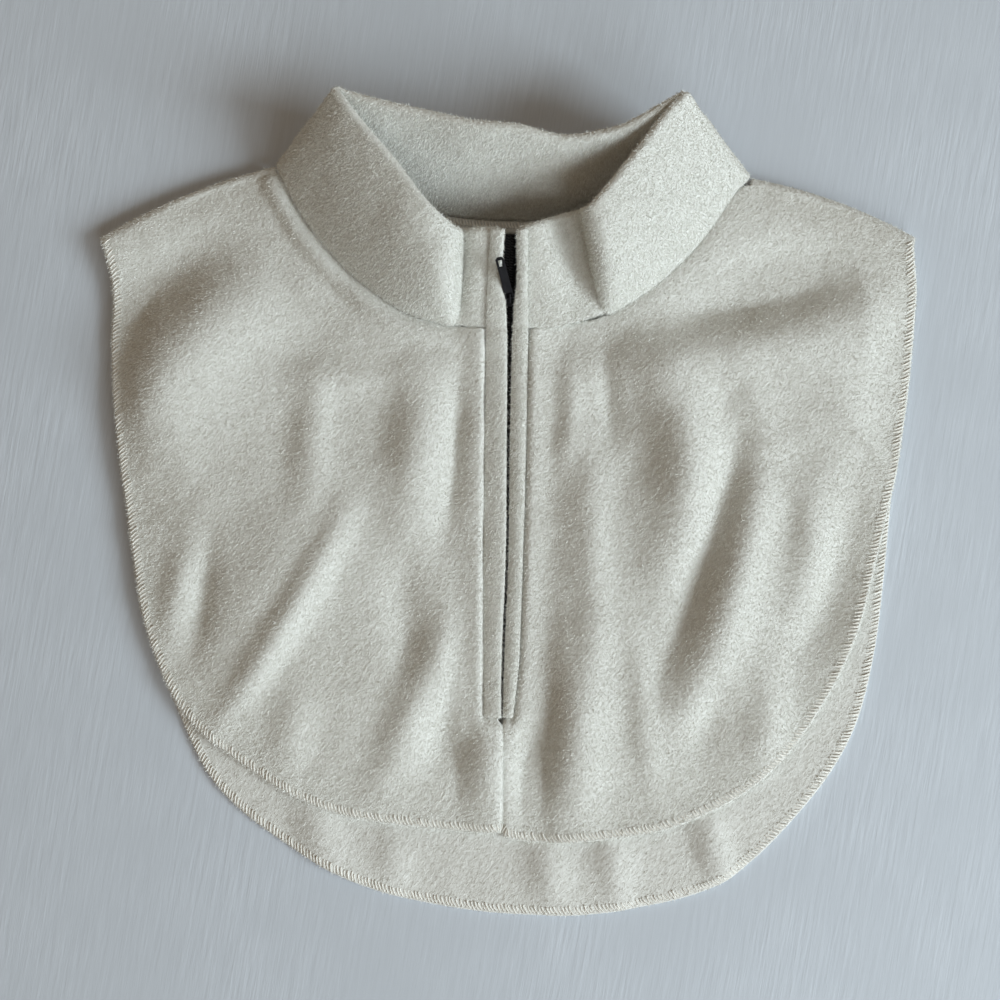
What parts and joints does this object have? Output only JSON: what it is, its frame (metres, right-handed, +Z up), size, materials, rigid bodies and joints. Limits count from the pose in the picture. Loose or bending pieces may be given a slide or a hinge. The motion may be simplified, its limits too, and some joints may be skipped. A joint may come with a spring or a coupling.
{
  "type": "turtleneck dickey",
  "caption": "Fleece turtleneck dickey lying front up: a stand-up collar that opens with a half zip over a bib front and a longer back panel.",
  "frame": {"origin": "bottom centre of the whole, on the surface that the dickey lies on", "axes": "+X to the viewer's right, +Y from the hem to the collar, +Z up out of the front"},
  "size_m": [0.4038, 0.3986, 0.048],
  "materials": {
    "fleece": "napped ivory fleece",
    "seam_tape": "pale overlocked seam",
    "zip_tape": "black woven tape",
    "zip_nylon": "black nylon coil",
    "zip_enamel": "black enamel"
  },
  "bodies": {
    "dickey": {"front_left_panel": "fleece", "front_right_panel": "fleece", "back_panel": "fleece", "collar": "fleece", "neck_seam_tape": "seam_tape", "zip_lip_left": "fleece", "zip_lip_right": "fleece", "zip_tape_left": "zip_tape", "zip_tape_right": "zip_tape", "zip_coil": "zip_nylon", "zip_slider": "zip_enamel"},
    "pull": {"zip_pull": "zip_enamel"}
  },
  "joints": [
    {"name": "pull_hinge", "type": "hinge", "parent": "dickey", "child": "pull", "pos_m": [0.00056, 0.10511, 0.01993], "axis": [0.9703, 0.2237, 0.0921], "range_deg": [0, 95]}
  ]
}
